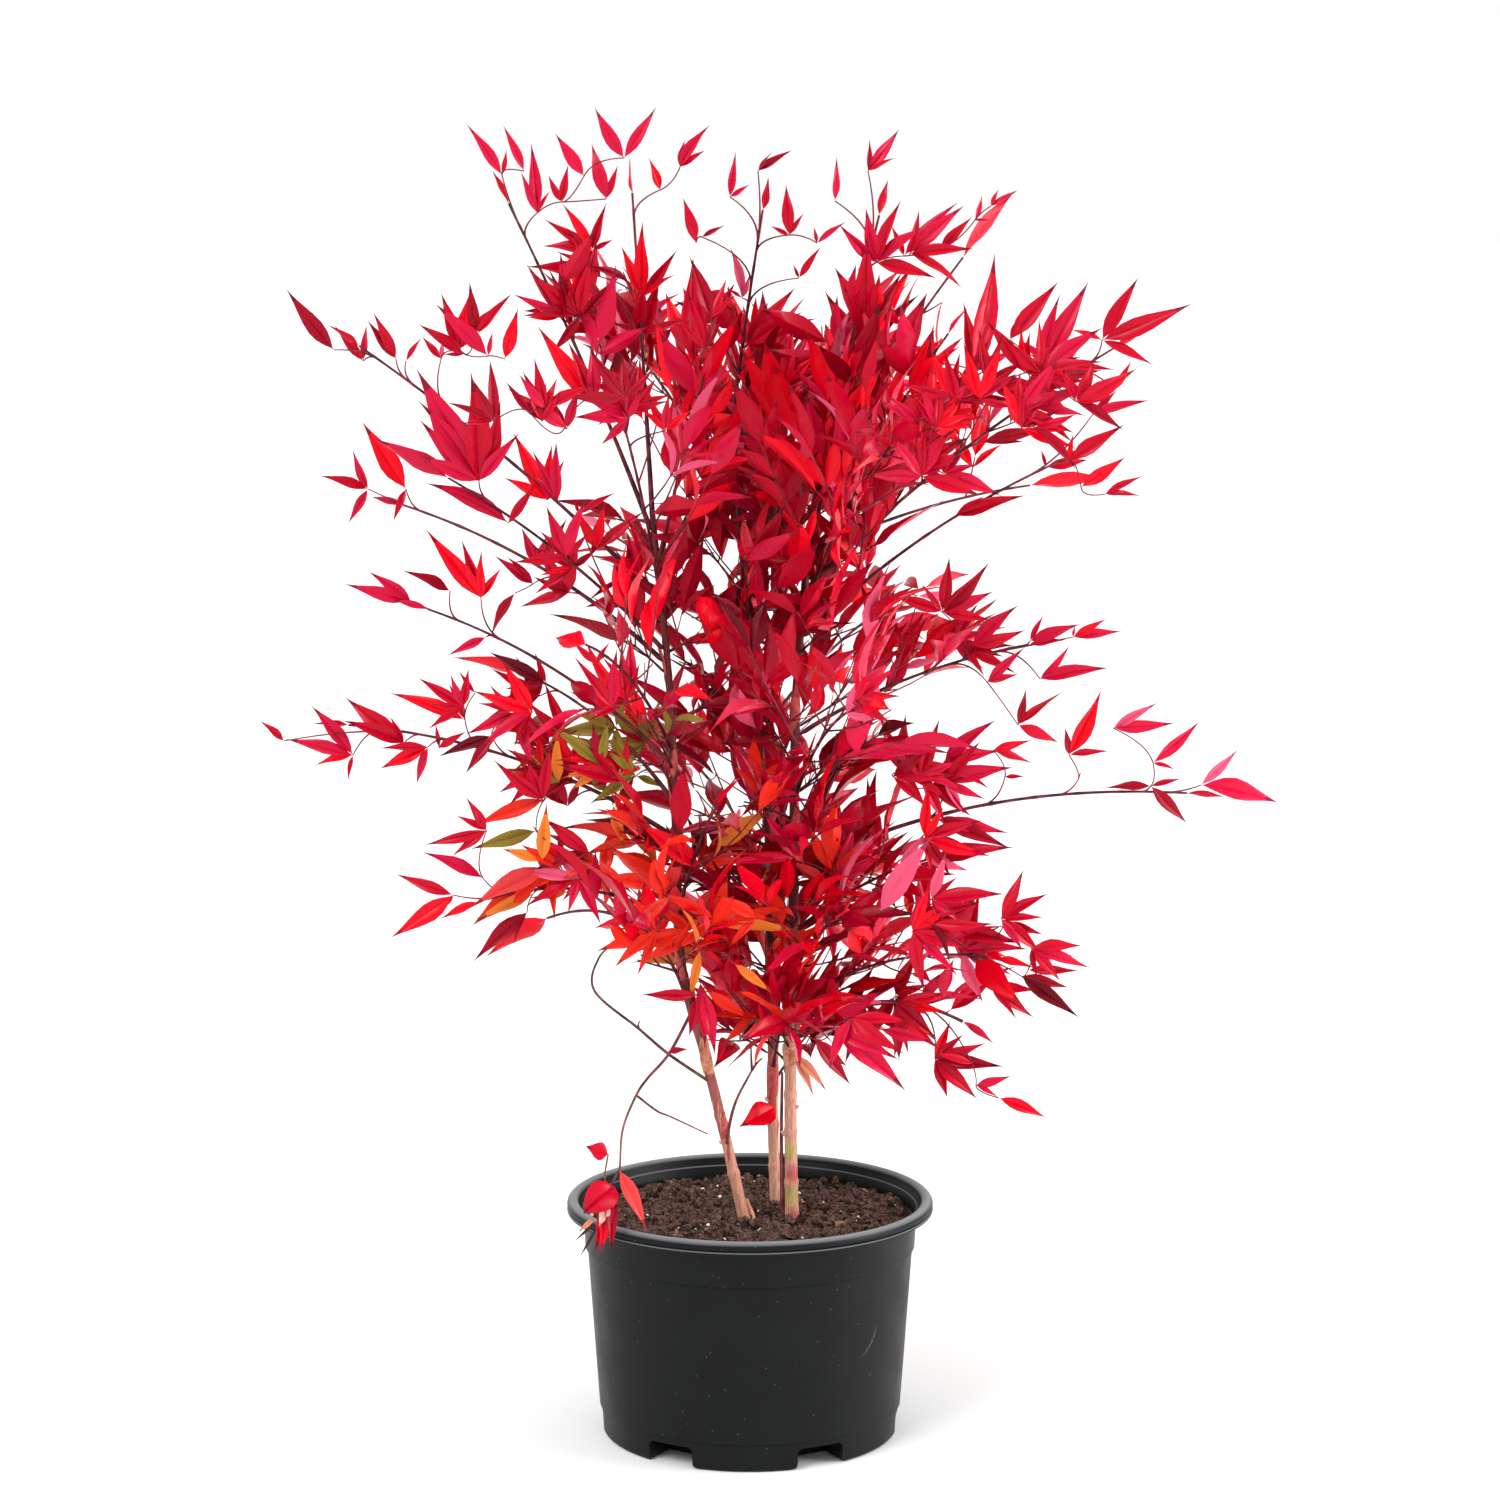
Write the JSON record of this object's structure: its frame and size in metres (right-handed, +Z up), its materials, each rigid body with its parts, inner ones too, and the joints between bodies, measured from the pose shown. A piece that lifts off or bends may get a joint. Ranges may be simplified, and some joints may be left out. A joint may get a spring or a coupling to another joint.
{
  "type": "potted heavenly bamboo",
  "caption": "Evergreen shrub in autumn red in a round black nursery pot: slender canes from one root, arching boughs and open sprays of narrow pointed leaves.",
  "frame": {"origin": "centre of the pot's flat underside, on the surface it stands on", "axes": "+Z up along the pot's axis, -Y towards the picture's viewer, +X to the viewer's right"},
  "size_m": [0.8272, 0.614, 1.08],
  "materials": {
    "pot": "moulded black plastic, satin on the lip, faint scuffs",
    "soil": "loose dark compost with pale specks",
    "cane_bark": "tan peeling bark with red sheaths and bud bumps",
    "dark_stem": "smooth dark maroon young bark",
    "leaves": "satin crimson leaves with paler undersides"
  },
  "bodies": {
    "root": {"bough_lower_right_tip": "dark_stem", "bough_middle_left_low": "dark_stem", "bough_middle_right_low": "dark_stem", "bough_top_far_left": "dark_stem", "bough_top_left": "dark_stem", "bough_top_mid_right": "dark_stem", "bough_upper_left": "dark_stem", "bough_upper_left_back": "dark_stem", "bough_upper_right": "dark_stem", "bough_upper_right_back": "dark_stem", "cane_left": "cane_bark", "cane_middle": "cane_bark", "cane_right": "cane_bark", "foliage_hanging": "leaves", "foliage_inner_low_front": "leaves", "foliage_inner_low_right": "leaves", "foliage_inner_middle_back": "leaves", "foliage_inner_middle_front": "leaves", "foliage_inner_top_left": "leaves", "foliage_inner_top_right": "leaves", "foliage_lower_back_left": "leaves", "foliage_lower_back_right": "leaves", "foliage_lower_front": "leaves", "foliage_lower_left": "leaves", "foliage_lower_left_back": "leaves", "foliage_lower_left_front": "leaves", "foliage_lower_right": "leaves", "foliage_lower_right_front": "leaves", "foliage_lower_right_tip": "leaves", "foliage_middle_back_left": "leaves", "foliage_middle_back_right": "leaves", "foliage_middle_front_left": "leaves", "foliage_middle_front_right": "leaves", "foliage_middle_left": "leaves", "foliage_middle_left_back": "leaves", "foliage_middle_left_low": "leaves", "foliage_middle_right": "leaves", "foliage_middle_right_low": "leaves", "foliage_top_centre": "leaves", "foliage_top_far_left": "leaves", "foliage_top_left": "leaves", "foliage_top_mid_right": "leaves", "foliage_top_right": "leaves", "foliage_upper_back_left": "leaves", "foliage_upper_back_right": "leaves", "foliage_upper_front_left": "leaves", "foliage_upper_front_right": "leaves", "foliage_upper_left": "leaves", "foliage_upper_left_back": "leaves", "foliage_upper_left_front": "leaves", "foliage_upper_right": "leaves", "foliage_upper_right_back": "leaves", "foliage_upper_right_front": "leaves", "foliage_upper_right_low": "leaves", "leaf_low": "leaves", "pot": "pot", "soil": "soil", "whip_bare": "dark_stem", "whip_hanging": "dark_stem"}
  },
  "joints": []
}
